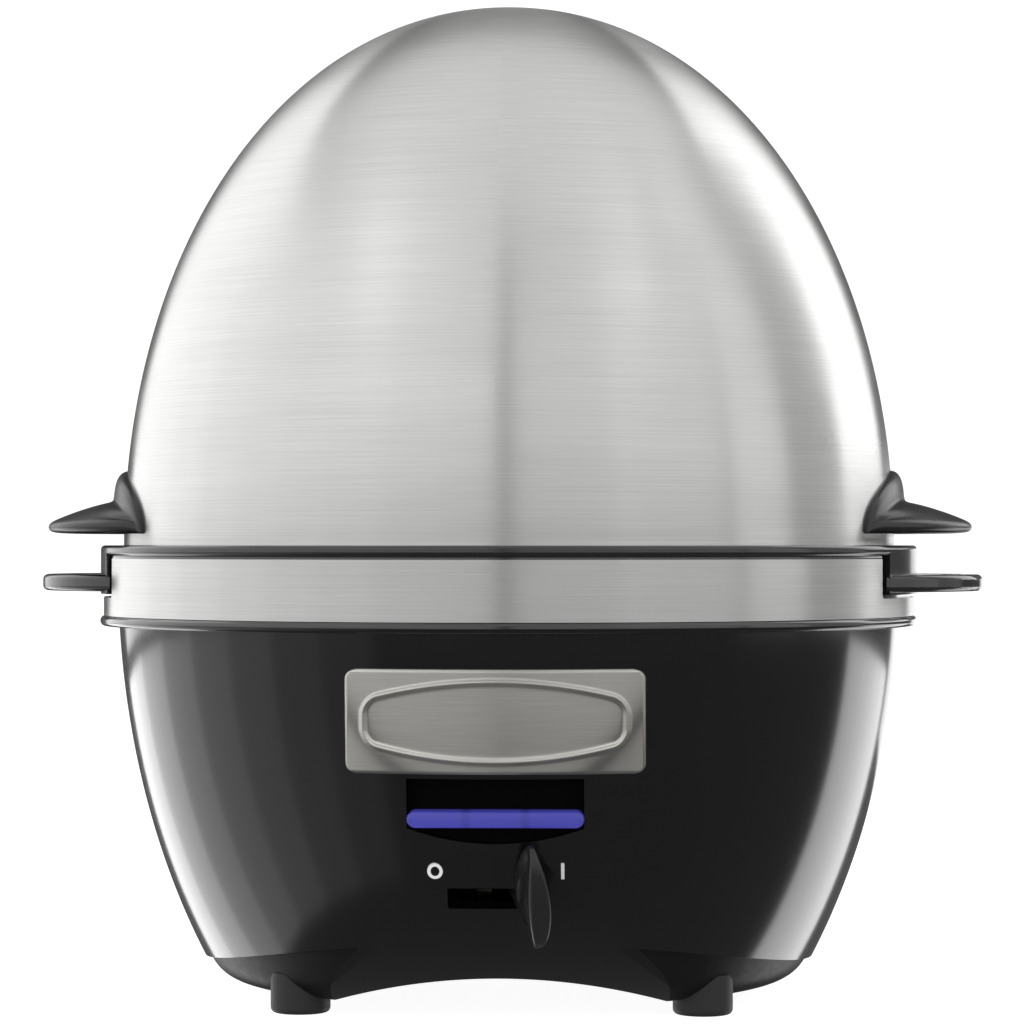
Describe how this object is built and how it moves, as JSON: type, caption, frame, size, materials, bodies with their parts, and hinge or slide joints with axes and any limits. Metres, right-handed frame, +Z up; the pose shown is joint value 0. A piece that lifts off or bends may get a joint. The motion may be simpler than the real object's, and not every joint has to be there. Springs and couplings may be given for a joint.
{
  "type": "egg cooker",
  "caption": "Electric steam egg cooker: bowl-shaped base with a heated water pan, lift-out egg racks and a tall dome lid with side handles.",
  "frame": {"origin": "on the floor, below the lid's axis, at the centre of the bounding box's bottom", "axes": "+Z up along the lid's axis, -Y towards the front with the switch and light bar, +X to the user's right"},
  "size_m": [0.2198, 0.1904, 0.229],
  "materials": {
    "gloss_black": "polished",
    "satin_black": "fine spark-eroded texture",
    "brushed_steel": "horizontal brushing",
    "steel_hardware": "zinc plated",
    "rubber": "matt",
    "lens_blue": "translucent, lit",
    "mark_grey": "printed",
    "silicone": "matt",
    "pan_coating": "non-stick coating",
    "circuit_board": "solder resist",
    "cream_plastic": "plain",
    "brass": "turned"
  },
  "bodies": {
    "base": {"base_housing": "gloss_black", "bottom_cover": "satin_black", "control_panel": "satin_black", "switch_marks": "mark_grey", "trim_band": "brushed_steel", "badge_plate": "brushed_steel", "led_lens": "lens_blue", "led_board": "circuit_board", "feet": "rubber", "foot_screws": "steel_hardware", "cover_screws": "steel_hardware", "panel_screws": "steel_hardware", "board_screws": "steel_hardware", "cord_gland": "rubber", "heating_plate": "pan_coating", "plate_seal": "silicone", "plate_studs": "steel_hardware", "stud_nuts": "steel_hardware", "heating_element": "steel_hardware", "heat_shield": "steel_hardware", "thermostat": "cream_plastic", "thermostat_clip": "steel_hardware", "thermal_fuse": "steel_hardware", "switch_body": "cream_plastic", "switch_bracket": "steel_hardware", "control_board": "circuit_board", "buzzer": "satin_black", "terminal_block": "cream_plastic"},
    "egg_rack": {"egg_rack": "satin_black"},
    "upper_rack": {"upper_rack": "satin_black"},
    "lid": {"lid_shell": "brushed_steel", "lid_handle_left": "satin_black", "lid_handle_right": "satin_black", "handle_screws": "steel_hardware", "handle_washers": "silicone"},
    "switch": {"switch_lever": "gloss_black", "switch_shaft": "brass"}
  },
  "joints": [
    {"name": "egg_rack_lift", "type": "slide", "parent": "base", "child": "egg_rack", "axis": [0, 0, 1], "range_m": [0, 0.12]},
    {"name": "upper_rack_lift", "type": "slide", "parent": "egg_rack", "child": "upper_rack", "axis": [0, 0, 1], "range_m": [0, 0.12]},
    {"name": "lid_lift", "type": "slide", "parent": "upper_rack", "child": "lid", "axis": [0, 0, 1], "range_m": [0, 0.16]},
    {"name": "switch_turn", "type": "hinge", "parent": "base", "child": "switch", "pos_m": [0, -0.06007, 0.03869], "axis": [0, -0.5146, 0.8574], "range_deg": [-34, 0]}
  ]
}
